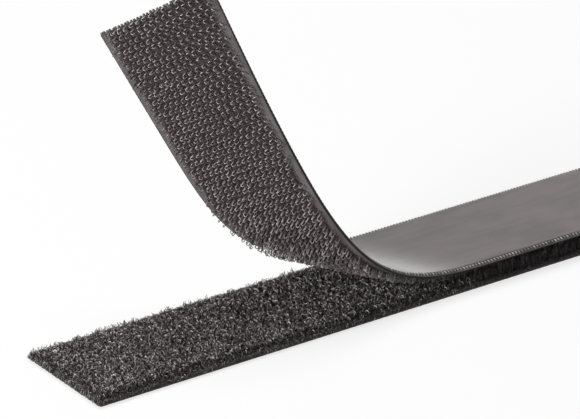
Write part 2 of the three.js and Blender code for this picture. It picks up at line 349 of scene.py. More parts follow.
def cloth_finish(name, dark, light, roughness, band, edge_shade, crown_light):
    """Woven nylon: painted light on the yarn crowns, painted shade in the gaps. The bare bands along
    both edges, band wide, are paler, and between them painted shade darkens all but the crowns. Painted
    shade dims the outermost yarns."""
    material, tree, shader = new_finish(name)
    place = mapped(tree, "tape")
    crown = use_effect(tree, woven_relief, Place=place)["Crown"]
    clouds = clouded(tree, place, 5.0, 3.0)
    twist = clouded(tree, place, 0.3, 0.12)
    across = add_node(tree, "ShaderNodeSeparateXYZ", {0: place}).outputs[1]
    inside = maths(tree, "MINIMUM", across, maths(tree, "SUBTRACT", TAPE_WIDTH, across))
    # Painted shade: away from the bare bands the cloth is dark except for its crowns.
    bare = ranged(tree, inside, 1.0, 0.0, band - 0.4, band + 0.4)
    # Painted shade on the outermost yarns.
    edge = ranged(tree, inside, edge_shade, 1.0, 0.2, 0.45)
    yarns = ranged(tree, weighted(tree, (clouds, 0.6), (crown, 0.2), (twist, 0.8)), 0.25, 1.0, 0.6, 1.05)
    crowns = ranged(tree, maths(tree, "MULTIPLY", crown, twist), 0.0, crown_light, 0.15, 0.5)
    share = add_node(tree, "ShaderNodeMix", {0: bare, 2: crowns, 3: yarns}).outputs[0]
    colour = vector_maths(tree, "SCALE", {0: mixed_colour(tree, share, dark, light), 3: edge})
    gloss = ranged(tree, twist, roughness - 0.1, roughness + 0.1, 0.3, 0.7)
    set_look(tree, shader, colour, gloss, 0.25)
    set_relief(tree, shader, maths(tree, "MULTIPLY_ADD", twist, 0.4, crown), 0.6)
    return material


loop_cloth_finish = cloth_finish("loop_ground", warm_grey(0.02), warm_grey(0.14), 0.7, 1.6, 0.6, 0.2)
ground_flat = flat_grid(spaced(END_FRAY, LOOP_LENGTH - END_FRAY, GROUND_STEP), across_tape())
ground_x, ground_y = np.moveaxis(ground_flat, 2, 0)
ground_over = FILM_TOP + GROUND_THICKNESS + cord_swell(ground_y) - edge_round(ground_y)
ground_over = ground_over + ribs(ground_x, ground_y)
ground_under = FILM_TOP + edge_round(ground_y, BACK_ROUND)
loop_cloth = shell_piece("loop_ground_cloth", ground_flat, ground_over, ground_under, loop_cloth_finish)
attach(loop_cloth, "loop_strip")
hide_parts("loop_ground")


# Loop strip, selvage turns and yarn ends: the weft yarn turns round the edge cords at every second pick,
# which leaves a fine beaded edge. At the cut ends the warp yarns stick out a little.
TURN_PITCH = 0.77
TURN_RADIUS = 0.18
TURN_WAY = np.linspace(-0.06, 0.06, 6)
ALONG, UPWARD = (1.0, 0.0, 0.0), (0.0, 0.0, 1.0)
TURN_REACH = np.array([0.78, 0.62, 0.45, 0.32, 0.28, 0.33])
TURN_RISE = np.array([0.36, 0.25, 0.25, 0.33, 0.48, 0.6])
YARN_SIDES = 6
YARN_PAIRS = 17
YARN_MARGIN = 0.85
YARN_SPREAD = 0.31
YARN_STRAY = 0.06
YARN_RADIUS = 0.29
YARN_ROOT = 0.3
YARN_REACH = 0.15
YARN_HEIGHT = 0.42
TONES = 32
COLOUR = "NodeSocketColor"


def tubes(paths, radii, sides, side_way):
    """Closed tubes along paths [tube, ring, xyz]. radii are by tube and ring, and side_way [tube, xyz]
    is a direction that no path runs along. Gives points, faces and corner places (round, along)."""
    count, rings = paths.shape[:2]
    heading = np.gradient(paths, axis=1)
    heading /= np.linalg.norm(heading, axis=2, keepdims=True)
    out = np.cross(heading, side_way[:, None, :])
    out /= np.linalg.norm(out, axis=2, keepdims=True)
    beside = np.cross(out, heading)
    turn = 2 * np.pi * np.arange(sides) / sides
    ring = out[:, :, None] * np.cos(turn)[:, None] + beside[:, :, None] * np.sin(turn)[:, None]
    points = paths[:, :, None] + ring * radii[:, :, None, None]
    index = np.arange(count * rings * sides).reshape(count, rings, sides)
    after = np.roll(index, -1, axis=2)
    walls = np.stack([index[:, :-1], after[:, :-1], after[:, 1:], index[:, 1:]], 3)
    fan = np.array([[0, i + 2, i + 1] for i in range(sides - 2)])
    caps = np.concatenate([index[:, 0][:, fan], index[:, -1][:, fan[:, ::-1]]], 1)
    around = np.arange(sides) / sides
    along = np.linspace(0, 1, rings)
    grid_u = np.stack([around, around + 1 / sides, around + 1 / sides, around], 1)
    grid_v = np.stack([along[:-1], along[:-1], along[1:], along[1:]], 1)
    wall_places = np.stack(np.broadcast_arrays(grid_u[None], grid_v[:, None]), 3).reshape(-1, 2)
    cap_corner = np.array([[0.1, 0.0], [0.9, 0.0], [0.5, 0.04]])
    foot_places = np.tile(cap_corner, (sides - 2, 1))
    tip_places = np.tile(cap_corner * (1, -1) + (0, 1), (sides - 2, 1))
    cap_places = np.concatenate([foot_places, tip_places])
    return points.reshape(-1, 3), walls, caps, wall_places, cap_places


def strand_piece(name, bundles, finish, shape=None):
    """Many strands as one piece. Each bundle is (paths, radii, sides, side_way, tones), and the map
    "OFBake" holds each strand's tone in steps along u and the way from foot to tip along v."""
    points, quads, triangles, quad_places, triangle_places = [], [], [], [], []
    first = 0
    for paths, radii, sides, side_way, tones in bundles:
        made, walls, caps, wall_places, cap_places = tubes(paths, radii, sides, side_way)
        column = np.floor(np.clip(tones, 0, 0.999) * TONES)[:, None]
        for places, kept in ((wall_places, quad_places), (cap_places, triangle_places)):
            u = (column + 0.1 + 0.8 * places[:, 0]) / TONES
            v = np.broadcast_to(0.01 + 0.98 * places[:, 1], u.shape)
            kept.append(np.stack([u, v], 2).reshape(-1, 2))
        points.append(made)
        quads.append(walls.reshape(-1, 4) + first)
        triangles.append(caps.reshape(-1, 3) + first)
        first += len(made)
    points = np.concatenate(points)
    if shape is not None:
        points = shape(points)
    faces = [np.concatenate(quads), np.concatenate(triangles)]
    groups = np.repeat([0, 1], [len(part) for part in faces])
    places = np.concatenate(quad_places + triangle_places)
    return make_piece(name, points, faces, groups, "OFBake", places, finish)


# A strand's colour: its own tone between two colours, with painted shade that darkens it towards its
# foot and its far end.
strand_shade, strand_in, strand_out = new_effect(
    "strand_shade",
    {"Place": VECTOR, "Dark": COLOUR, "Light": COLOUR, "Foot": FLOAT, "End": FLOAT},
    {"Colour": COLOUR, "Tip": FLOAT},
)
strand_place = add_node(strand_shade, "ShaderNodeSeparateXYZ", {0: strand_in.outputs["Place"]})
strand_tip = ranged(strand_shade, strand_place.outputs[1], 0.0, 1.0, 0.1, 0.6)
strand_tone = mixed_colour(
    strand_shade, strand_place.outputs[0], strand_in.outputs["Dark"], strand_in.outputs["Light"]
)
strand_end = ranged(strand_shade, strand_place.outputs[1], 1.0, strand_in.outputs["End"], 0.65, 1.0)
strand_dim = ranged(strand_shade, strand_tip, strand_in.outputs["Foot"], 1.0)
strand_dim = maths(strand_shade, "MULTIPLY", strand_dim, strand_end)
strand_colour = vector_maths(strand_shade, "SCALE", {0: strand_tone, 3: strand_dim})
strand_shade.links.new(strand_colour, strand_out.inputs["Colour"])
strand_shade.links.new(strand_tip, strand_out.inputs["Tip"])


def strand_finish(name, dark, light, foot, roughness, specular=0.5, end=1.0):
    """Nylon strands, each in its own tone, which painted shade darkens towards their feet and far ends.
    Their tips are smoother than their feet.
    """
    material, tree, shader = new_finish(name)
    place = mapped(tree, "OFBake")
    shade = use_effect(tree, strand_shade, Place=place, Dark=dark, Light=light, Foot=foot, End=end)
    gloss = ranged(tree, shade["Tip"], roughness + 0.15, roughness)
    set_look(tree, shader, shade["Colour"], gloss, specular)
    return material


def edge_yarns(places, outside, way, reach, rise, radius, side_way, tones):
    """Short yarns at places along an edge, as a bundle for strand_piece. way, reach and rise say how
    each runs: along x, in from the edge and up. outside is 1 at the back edge and -1 at the front."""
    edge = TAPE_WIDTH if outside > 0 else 0.0
    paths = np.stack(np.broadcast_arrays(places[:, None] + way, edge - outside * reach, rise), 2)
    radii = np.full(paths.shape[:2], radius)
    return paths, radii, YARN_SIDES, np.tile(side_way, (len(places), 1)), tones


def yarn_ends(start, end, height, draw):
    """Warp yarn ends at a cut, in pairs, which leave the cloth at x = start and stop near x = end."""
    pairs = np.linspace(YARN_MARGIN, TAPE_WIDTH - YARN_MARGIN, YARN_PAIRS)
    y = np.concatenate([pairs - YARN_SPREAD, pairs + YARN_SPREAD])
    y = y + draw.uniform(-YARN_STRAY, YARN_STRAY, len(y))
    reach = (end - start) * draw.uniform(0.8, 1.05, len(y))
    share = np.array([-0.6, 0.0, 0.5, 0.85, 1.0])
    splay = draw.uniform(-YARN_STRAY, YARN_STRAY, (2, len(y), 1)) * np.clip(share, 0, 1) ** 2
    paths = np.stack([start + reach[:, None] * share, y[:, None] + splay[0], height + splay[1]], 2)
    radii = np.tile(YARN_RADIUS * np.array([1, 1, 1, 0.95, 0.7]), (len(y), 1))
    tones = draw.uniform(0.0, 0.15, len(y))
    return paths, radii, YARN_SIDES, np.tile(UPWARD, (len(y), 1)), tones


loop_yarn_finish = strand_finish("loop_selvage_yarn", warm_grey(0.02), warm_grey(0.12), 0.7, 0.55)
yarn_draw = np.random.default_rng(11)
turn_places = np.arange(0.5, LOOP_LENGTH - 0.3, TURN_PITCH)
loop_edge = []
for way in (-1, 1):
    tones = yarn_draw.uniform(0, 1, len(turn_places))
    turn = (TURN_WAY, TURN_REACH, TURN_RISE, TURN_RADIUS, ALONG)
    loop_edge.append(edge_yarns(turn_places, way, *turn, tones))
for end, way in ((0.0, -1), (LOOP_LENGTH, 1)):
    root = end - way * (END_FRAY + YARN_ROOT)
    loop_edge.append(yarn_ends(root, end + way * YARN_REACH, YARN_HEIGHT, yarn_draw))
loop_selvage = strand_piece("loop_selvage_yarn", loop_edge, loop_yarn_finish)
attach(loop_selvage, "loop_strip")


# Where the hook strip lies: it is pressed flat on the loop strip at the right, then bends up along
# slanted fold lines, and its free end's front corner curls. The joints turn on eight of those lines.
HOOK_LENGTH = 137.5
HOOK_OVERHANG = 1.8
HOOK_SEAT = 5.05
BEND_CENTRE = 58.5
BEND_RUN = 65.4
BEND_TURN = math.radians(83.4)
BEND_LEAN = math.radians(30.3)
CURL_ONSET = 21.0
CURL_LEAN = math.radians(64)
CURL_RADIUS = 30.0
PEEL_LINKS = 8
SEAM_STEP = 0.12
MIDDLE = TAPE_WIDTH / 2
FREE_END = -HOOK_OVERHANG
MATED_END = HOOK_LENGTH - HOOK_OVERHANG
BEND_START = BEND_CENTRE + BEND_RUN / 2
BEND_END = BEND_CENTRE - BEND_RUN / 2
BEND_LENGTH = BEND_RUN * math.cos(BEND_LEAN)
bend_lengths = np.linspace(0.0, BEND_LENGTH, 2001)
bend_u = 2 * bend_lengths / BEND_LENGTH - 1
bend_shares = (bend_u + 1) / 2 + np.sin(np.pi * bend_u) / (2 * np.pi)


def summed(values):
    """Running integral of values along bend_lengths."""
    step = bend_lengths[1] - bend_lengths[0]
    return np.concatenate([[0.0], np.cumsum((values[1:] + values[:-1]) / 2) * step])


bend_runs = summed(np.cos(BEND_TURN * bend_shares))
bend_rises = summed(np.sin(BEND_TURN * bend_shares))


def to_fold(x, y, start, lean):
    """Distances across and along a fold line that crosses the tape's middle at x = start."""
    across = (x - start) * math.cos(lean) + (y - MIDDLE) * math.sin(lean)
    along = (x - start) * math.sin(lean) - (y - MIDDLE) * math.cos(lean)
    return across, along


def from_fold(across, along, start, lean):
    x = start + across * math.cos(lean) + along * math.sin(lean)
    y = MIDDLE + across * math.sin(lean) - along * math.cos(lean)
    return x, y


def peel(points):
    """Points of the flat hook strip, with z = 0 on top of its cloth, to where the peel carries them."""
    x, y, z = np.asarray(points, float).T
    across, along = to_fold(x, y, CURL_ONSET, CURL_LEAN)
    turn = np.maximum(-across, 0) / CURL_RADIUS
    radius = CURL_RADIUS - z
    curled = across < 0
    curl_x, curl_y = from_fold(-radius * np.sin(turn), along, CURL_ONSET, CURL_LEAN)
    x, y = np.where(curled, curl_x, x), np.where(curled, curl_y, y)
    z = np.where(curled, CURL_RADIUS - radius * np.cos(turn), z)
    across, along = to_fold(x, y, BEND_START, BEND_LEAN)
    length = np.maximum(-across, 0)
    past = np.maximum(length - BEND_LENGTH, 0)
    turn = BEND_TURN * np.interp(length, bend_lengths, bend_shares)
    run = np.interp(length, bend_lengths, bend_runs) + past * np.cos(turn)
    rise = np.interp(length, bend_lengths, bend_rises) + past * np.sin(turn)
    bent = across < 0
    bend_x, bend_y = from_fold(-run + z * np.sin(turn), along, BEND_START, BEND_LEAN)
    x, y = np.where(bent, bend_x, x), np.where(bent, bend_y, y)
    return np.stack([x, y, HOOK_SEAT + np.where(bent, rise + z * np.cos(turn), z)], 1)


def bend_place(share):
    """Where the fold line crosses the tape's middle by which that share of the turn is made."""
    return BEND_START - np.interp(share, bend_shares, bend_lengths) / math.cos(BEND_LEAN)


def fold_place(x, y):
    """Where the fold line through a flat point crosses the tape's middle."""
    return x + (y - MIDDLE) * math.tan(BEND_LEAN)


def on_fold(place):
    """A point of the bent strip on that fold line, all of them in one plane square to the lines."""
    across = (place - BEND_START) * math.cos(BEND_LEAN)
    x, y = from_fold(across, 0.0, BEND_START, BEND_LEAN)
    return tuple(to_frame(peel([(x, y, -0.3)]))[0])


# The strip is made in eight lengths, which meet half-way between the hinges. At a seam the length before
# it has about a quarter of its turn still to make and the length after it has made a quarter. Both then
# lie on one smooth curve, where whole turns between the seams would ripple the strip when it is closed.
hinges = [bend_place((i + 0.5) / PEEL_LINKS) for i in range(PEEL_LINKS)]
seams = [bend_place(i / PEEL_LINKS) for i in range(1, PEEL_LINKS)]
links = ["hook_strip"] + [f"peel_link_{i + 1}" for i in range(PEEL_LINKS)]
node_ends = ["mated"] + [f"bend_{i}" for i in range(1, PEEL_LINKS)] + ["tail"]
run_before = np.subtract(hinges[:-1], seams)
run_after = np.subtract(seams, hinges[1:])
turn_left = 0.5 * run_after / (run_before + run_after)
turn_made = 0.5 * run_before / (run_before + run_after)
starts = [((2 * BEND_START + hinges[0]) / 3, 0.0), *zip(seams, turn_made)]
ends = [*zip(seams, 1 - turn_left), ((2 * BEND_END + hinges[-1]) / 3, 1.0)]


def turn_span(start, end):
    """Ends of the stretch of the strip over which a length turns, from two places on it and the share of
    the turn that is made at each of them."""
    near, far = (np.array(on_fold(place)) for place, made in (start, end))
    first, last = (0.5 - math.sin(math.asin(1 - 2 * made) / 3) for place, made in (start, end))
    whole = (far - near) / (last - first)
    return tuple(near - first * whole), tuple(near + (1 - first) * whole)


cuts = [np.inf, *seams, -np.inf]
lengths = [
    {
        "name": i + 1,
        "high": cuts[i],
        "low": cuts[i + 1],
        "bodies": (links[i], links[i + 1]),
        "span": turn_span(starts[i], ends[i]),
        "nodes": node_ends[i:] if i + 1 == PEEL_LINKS else [node_ends[i]],
    }
    for i in range(PEEL_LINKS)
]


def bend_with(piece):
    """Bakes the piece's transform into its mesh."""
    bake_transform(piece)


def lies_on(length, x, y):
    """Which flat points lie on one length."""
    place = fold_place(x, y)
    return (place > length["low"]) & (place <= length["high"])


def length_grid(length, across, step):
    """Flat places [along x, across y] that cover one length, from its left line to its right."""
    slant = (across - MIDDLE) * math.tan(BEND_LEAN)
    left = np.maximum(length["low"] - slant, FREE_END + END_FRAY)
    right = np.minimum(length["high"] - slant, MATED_END - END_FRAY)
    reach = (right - left).max()
    share = spaced(0.0, reach, step) / reach
    near_seam = SEAM_STEP / reach
    share = np.concatenate([[0.0, near_seam], share[1:-1], [1 - near_seam, 1.0]])
    x = left + (right - left) * share[:, None]
    return np.dstack([x, np.broadcast_to(across, x.shape)])


# Loop strip, pile: nylon loops that stand on the ground, napped after weaving until they are a dense,
# uneven fleece. Its heart is one low cushion, in the pile's own dark tone darkened further by painted
# shade. In the mated length the hooks have drawn it up.
PILE_FOOT = 0.66
HEART_TOP = 1.5
HEART_DRAWN = 2.2
HEART_EDGE = 1.0
HEART_END = 0.25
HEART_RIM = PILE_FOOT + 0.35
HEART_STEP = 0.45
DRAWN_FROM = 76.0
DRAWN_RUN = 14.0
DRAWN_PAST = 0.6
DRAWN_FALL = 1.6
SHOULDER = 2.2
LUMP_SIZE = 2.6
LUMP_RISE = 0.2
LUMP_WAVES = 9


def drawn_up(x, y):
    """0 where the pile lies open, 1 where the hook strip is pressed into it."""
    share = np.clip((fold_place(x, y) - DRAWN_FROM) / DRAWN_RUN, 0, 1)
    share = np.minimum(share, np.clip((MATED_END + DRAWN_PAST - x) / DRAWN_FALL, 0, 1))
    return share * share * (3 - 2 * share)


def from_end(x):
    return np.minimum(x, LOOP_LENGTH - x)


def lumps(x, y, seed):
    """Smooth random unevenness, from about -1 to 1."""
    draw = np.random.default_rng(seed)
    total = np.zeros(np.shape(x))
    for _ in range(LUMP_WAVES):
        way = draw.uniform(0, 2 * np.pi)
        pitch = LUMP_SIZE * draw.uniform(0.8, 1.8)
        wave = (x * math.cos(way) + y * math.sin(way)) * 2 * np.pi / pitch
        total = total + np.sin(wave + draw.uniform(0, 2 * np.pi))
    return total / (LUMP_WAVES / 2)


def heart_finish():
    """The inside of the fleece, in the pile's dark tone darkened further by painted shade, mottled by
    its own tufts.
    """
    material, tree, shader = new_finish("pile_heart")
    place = mapped(tree, "tape")
    tufts = clouded(tree, place, 0.5, 0.5)
    clouds = clouded(tree, place, 6.0, 4.0)
    share = ranged(tree, weighted(tree, (clouds, 0.3), (tufts, 0.7)), 0.0, 1.0, 0.35, 0.65)
    colour = mixed_colour(tree, share, warm_grey(0.005, 0.25), warm_grey(0.022, 0.25))
    set_look(tree, shader, colour, ranged(tree, tufts, 0.85, 1.0, 0.3, 0.7))
    set_relief(tree, shader, tufts, 1.0, 0.0003)
    return material


heart_flat = flat_grid(
    spaced(HEART_END, LOOP_LENGTH - HEART_END, HEART_STEP),
    spaced(HEART_EDGE, TAPE_WIDTH - HEART_EDGE, HEART_STEP),
)
heart_x, heart_y = np.moveaxis(heart_flat, 2, 0)
heart_inside = np.minimum(from_edge(heart_y) - HEART_EDGE, from_end(heart_x) - HEART_END)
heart_shoulder = np.sin(np.clip(heart_inside / SHOULDER, 0, 1) * np.pi / 2)
heart_height = HEART_TOP + (HEART_DRAWN - HEART_TOP) * drawn_up(heart_x, heart_y)
heart_height = heart_height + LUMP_RISE * lumps(heart_x, heart_y, 3)
heart_over = HEART_RIM + (heart_height - HEART_RIM) * heart_shoulder
pile_heart = shell_piece("pile_heart", heart_flat, heart_over, PILE_FOOT, heart_finish())
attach(pile_heart, "loop_strip")
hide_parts("loop_pile")


# Loop strip, pile fibres: the fine crimped filaments on top of the fleece. Most arch over and dive back
# in, some are broken ends. The fleece falls away to both edges, where short nap covers the cords, and
# small tufts stand out along the back edge.
FIBRE_LENGTHS = 12
FIBRE_SIDES = 3
FIBRE_THICK = (0.034, 0.062)
FIBRE_SWELL = (0.8, 1.3)
FIBRE_TAPER = np.array([0.9, 1.0, 1.0, 0.95, 0.7])
FIBRE_RINGS = len(FIBRE_TAPER)
FIBRE_TURN = 0.4
FIBRE_CRIMP = (0.01, 0.05)
FIBRE_LOW = 0.35
FUZZ_ENDS = 0.3
FUZZ_FRONT = 0.2
FUZZ_BACK = 0.9
END_SHOULDER = 1.3
EDGE_FALL = (1.8, 0.5)
PACKED_EDGE = (2.6, 4.2)
PACKED_SHADE = 0.62

FLEECE_FIBRES = 5600
FLEECE_EDGE = 0.7
FLEECE_WAYS = np.radians([30, 76, 210, 256])
FLEECE_REACH = (0.5, 1.2)
FLEECE_BROKEN = 0.25
OPEN_CREST = (1.7, 2.35)
DRAWN_CREST = (2.0, 4.2)
LYING_DEPTH = (0.25, 0.6)
LYING_FOOT = (0.9, 1.85)
STANDING_FOOT = (0.95, 1.45)

NAP_FIBRES = 480
NAP_BAND = (-0.08, 1.8)
NAP_REACH = (0.4, 1.1)
NAP_FOOT = (0.35, 0.8)
NAP_CREST = (0.95, 1.4)
NAP_BROKEN = 0.3
NAP_PACKED_SHADE = 0.6

END_FIBRES = 420
END_REACH = (0.5, 1.3)
END_FOOT = (0.7, 1.1)
END_RISE = (0.2, 0.9)

STRAY_FIBRES = 84
STRAY_BAND = 1.6
STRAY_REACH = (0.2, 1.0)
STRAY_FOOT = (0.8, 1.2)
STRAY_RISE = (0.2, 1.0)
STRAY_BROKEN = 0.6
SINGLE_STRAYS = 0.5
TUFTS = 10
TUFT_BAND = 1.2
TUFT_RISE = (-0.1, 0.6)
TUFT_SPREAD = 0.14
TUFT_BROKEN = 0.3

fibre_draw = np.random.default_rng(29)
spread, scatter = fibre_draw.uniform, fibre_draw.normal


def between(ends, share):
    return ends[0] + (ends[1] - ends[0]) * share


def pile_crest(x, y, level):
    """How high fibres reach, from the shortest at level 0 to the tallest at level 1."""
    drawn = drawn_up(x, y)
    low, high = (between(ends, drawn) for ends in zip(OPEN_CREST, DRAWN_CREST))
    inside = np.minimum(from_edge(y) / SHOULDER, from_end(x) / END_SHOULDER)
    fall = 1 - np.sin(np.clip(inside, 0, 1) * np.pi / 2)
    return low + (high - low) * level - between(EDGE_FALL, drawn) * fall


def packed_and_shaded(x, y):
    """1 along both sides of the mated length, where the drawn-up fleece is pressed tight and darkened by
    painted shade, else 0.
    """
    near = (PACKED_EDGE[1] - from_edge(y)) / (PACKED_EDGE[1] - PACKED_EDGE[0])
    return drawn_up(x, y) * np.clip(near, 0, 1)


def fibre_bundle(x, y, way, reach, foot, crest, broken, tones):
    """Arched or broken fibres from their feet at x and y, turning as they run, as a bundle."""
    count = len(x)
    share = np.linspace(0, 1, FIBRE_RINGS)
    heading = way[:, None] + scatter(0, FIBRE_TURN, count)[:, None] * (share - 0.5)
    step = reach[:, None] / (FIBRE_RINGS - 1)
    run_x = np.cumsum(np.cos(heading) * step, axis=1) - np.cos(heading) * step
    run_y = np.cumsum(np.sin(heading) * step, axis=1) - np.sin(heading) * step
    rise = np.where(broken[:, None], share**0.8, np.sin(np.pi * share) ** 0.75)
    paths = np.empty((count, FIBRE_RINGS, 3))
    paths[:, :, 0] = np.clip(x[:, None] + run_x, -FUZZ_ENDS, LOOP_LENGTH + FUZZ_ENDS)
    paths[:, :, 1] = np.clip(y[:, None] + run_y, -FUZZ_FRONT, TAPE_WIDTH + FUZZ_BACK)
    paths[:, :, 2] = foot[:, None] + (crest - foot)[:, None] * rise
    droop = np.maximum(-1.2 * from_edge(paths[:, :, 1]), -2.0 * from_end(paths[:, :, 0]))
    paths[:, :, 2] = np.maximum(paths[:, :, 2] - np.maximum(droop, 0), FIBRE_LOW)
    crimp = between(FIBRE_CRIMP, packed_and_shaded(x, y))
    paths = paths + scatter(0, 1, paths.shape) * crimp[:, None, None]
    thick = spread(*FIBRE_THICK, count) * (FIBRE_SWELL[0] + FIBRE_SWELL[1] * tones)
    radii = thick[:, None] * FIBRE_TAPER
    side_way = np.stack([-np.sin(way), np.cos(way), np.full(count, 0.15)], 1)
    return paths, radii, FIBRE_SIDES, side_way, tones


def fleece(start, end):
    """The fleece between two places along the tape. Where it is drawn up, painted shade darkens its
    sides.
    """
    count = FLEECE_FIBRES
    x = spread(start, end, count)
    y = spread(FLEECE_EDGE, TAPE_WIDTH - FLEECE_EDGE, count)
    drawn = drawn_up(x, y)
    way = fibre_draw.choice(FLEECE_WAYS, count) + scatter(0, 0.6, count)
    reach = spread(*FLEECE_REACH, count) * (1 + 0.2 * drawn)
    level = spread(0, 1, count)
    crest = pile_crest(x, y, level)
    lying = np.clip(crest - spread(*LYING_DEPTH, count), *LYING_FOOT)
    foot = between((lying, spread(*STANDING_FOOT, count)), drawn)
    broken = spread(0, 1, count) < FLEECE_BROKEN
    # Painted shade: the shorter fibres, which lie deeper in the fleece, get darker tones.
    tones = spread(0, 1, count) ** 2.0 * (0.06 + 0.94 * level**1.4)
    # Painted shade along both sides of the mated length.
    tones = tones * (1 - PACKED_SHADE * packed_and_shaded(x, y))
    # Painted shade: fibres darker towards both edges, where the fleece falls away.
    tones = tones * (1 - 0.5 * np.clip((1.6 - from_edge(y)) / 1.2, 0, 1))
    return fibre_bundle(x, y, way, reach, foot, np.maximum(crest, foot + 0.2), broken, tones)


def nap(start, end):
    """Short fibres that lie over the selvage cords."""
    count = NAP_FIBRES
    x = spread(start, end, count)
    y = NAP_BAND[0] + NAP_BAND[1] * spread(0, 1, count) ** 1.6
    y = np.where(spread(0, 1, count) < 0.5, y, TAPE_WIDTH - y)
    way = spread(0, 2 * np.pi, count)
    reach = spread(*NAP_REACH, count)
    foot = spread(*NAP_FOOT, count)
    crest = spread(*NAP_CREST, count)
    broken = spread(0, 1, count) < NAP_BROKEN
    # Painted shade along both sides of the mated length.
    tones = fibre_draw.beta(1, 6, count) * (1 - NAP_PACKED_SHADE * packed_and_shaded(x, y))
    return fibre_bundle(x, y, way, reach, foot, crest, broken, tones)


def end_nap(end, outward):
    """Fibres that lie over a cut end, which outward leaves at 1 or -1 along x."""
    count = END_FIBRES
    x = end - outward * spread(0.0, 1.0, count)
    y = spread(0.2, TAPE_WIDTH - 0.2, count)
    way = np.pi * (1 - outward) / 2 + scatter(0, 0.8, count)
    reach = spread(*END_REACH, count)
    foot = spread(*END_FOOT, count)
    crest = foot + spread(*END_RISE, count)
    broken = spread(0, 1, count) < NAP_BROKEN
    return fibre_bundle(x, y, way, reach, foot, crest, broken, fibre_draw.beta(1, 4, count))


def strays(start, end):
    """Short fibres that stand out from the back edge, half of them in small tufts that lean one way."""
    count = STRAY_FIBRES
    tuft_x = spread(start, end, TUFTS)
    tuft_in = spread(0.0, TUFT_BAND, TUFTS)
    tuft_way = np.pi / 2 + scatter(0, 1.2, TUFTS)
    tuft_rise = spread(*TUFT_RISE, TUFTS)
    tuft = fibre_draw.integers(0, TUFTS, count)
    single = spread(0, 1, count) < SINGLE_STRAYS
    x = tuft_x[tuft] + scatter(0, TUFT_SPREAD, count)
    x = np.where(single, spread(start, end, count), x)
    inside = np.maximum(tuft_in[tuft] + scatter(0, TUFT_SPREAD, count), 0)
    y = TAPE_WIDTH - np.where(single, spread(0.0, STRAY_BAND, count), inside)
    way = np.where(single, np.pi / 2, tuft_way[tuft]) + scatter(0, 0.7, count)
    reach = spread(*STRAY_REACH, count)
    foot = spread(*STRAY_FOOT, count)
    rise = spread(*STRAY_RISE, count) + np.where(single, 0, tuft_rise[tuft])
    crest = foot + rise * (1 - 0.2 * drawn_up(x, y))
    broken = spread(0, 1, count) < np.where(single, STRAY_BROKEN, TUFT_BROKEN)
    # Painted shade along both sides of the mated length.
    tones = fibre_draw.beta(1, 3, count) * (1 - PACKED_SHADE * packed_and_shaded(x, y))
    return fibre_bundle(x, y, way, reach, foot, crest, broken, tones)


fibre_finish = strand_finish(
    "pile_fibre", warm_grey(0.008, 0.25), warm_grey(0.9, 0.17), 0.12, 0.32, 0.4, 0.12
)
for i in range(FIBRE_LENGTHS):
    start, end = LOOP_LENGTH * i / FIBRE_LENGTHS, LOOP_LENGTH * (i + 1) / FIBRE_LENGTHS
    bundles = [fleece(start, end), nap(start, end), strays(start, end)]
    if i == 0:
        bundles.append(end_nap(0.0, -1))
    if i + 1 == FIBRE_LENGTHS:
        bundles.append(end_nap(LOOP_LENGTH, 1))
    fibres = strand_piece(f"pile_fibres_{i + 1}", bundles, fibre_finish)
    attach(fibres, "loop_strip")


# Hook strip, ground: a denser weave of grey nylon, which also holds the hook filaments. Its selvages are
# smooth bands with fine ribs along them, and its upper face is hidden under the coating.
HOOK_CLOTH = 0.55
HOOK_CORD = 0.3
HOOK_CLOTH_STEP = 0.45

hook_cloth_finish = cloth_finish(
    "hook_ground", warm_grey(0.018), warm_grey(0.2, 0.09), 0.6, 1.9, 0.06, 0.34
)
for length in lengths:
    flat = length_grid(length, across_tape(), HOOK_CLOTH_STEP)
    y = flat[:, :, 1]
    over = -edge_round(y, BACK_ROUND)
    under = -HOOK_CLOTH - HOOK_CORD * cord_swell(y) + edge_round(y) - ribs(flat[:, :, 0], y)
    name = f"hook_ground_cloth_{length['name']}"
    cloth = shell_piece(name, flat, over, under, hook_cloth_finish, peel)
    bend_with(cloth)
    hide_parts(*[f"hook_fabric_{end}" for end in length["nodes"]])


# Hook strip, selvage turns: the weft turns round the edge cords as on the loop strip, in a paler yarn,
# and shows as a row of fine beads beside the coating. Dark stitches and a cord fill the gaps between the
# beads, the cord dark as painted shade there. The free end's warp yarns stick out like a comb.
HOOK_TURN_REACH = np.array([0.84, 0.7, 0.53, 0.39, 0.32, 0.36])
HOOK_TURN_RISE = np.array([-0.06, 0.1, 0.14, 0.09, -0.06, -0.22])
BACK_TURN_LIFT = 0.14
BEAD_RADIUS = 0.13
BEAD_TONES = (0.2, 1.0)
BEAD_SHADE = ((0.88,), (0.6,))
STITCH_WAY = np.array([-0.46, -0.16, 0.16, 0.46])
STITCH_REACH = np.array([0.15, 0.07, 0.07, 0.15])
STITCH_RISE = -0.2
STITCH_RADIUS = 0.09
STITCH_TONES = (0.08, 0.28)
CORD_REACH = np.array([0.58, 0.5, 0.5, 0.58])
CORD_RISE = 0.0
CORD_RADIUS = 0.16
CORD_TONE = 0.05
HOOK_YARN_ROOT = 0.35

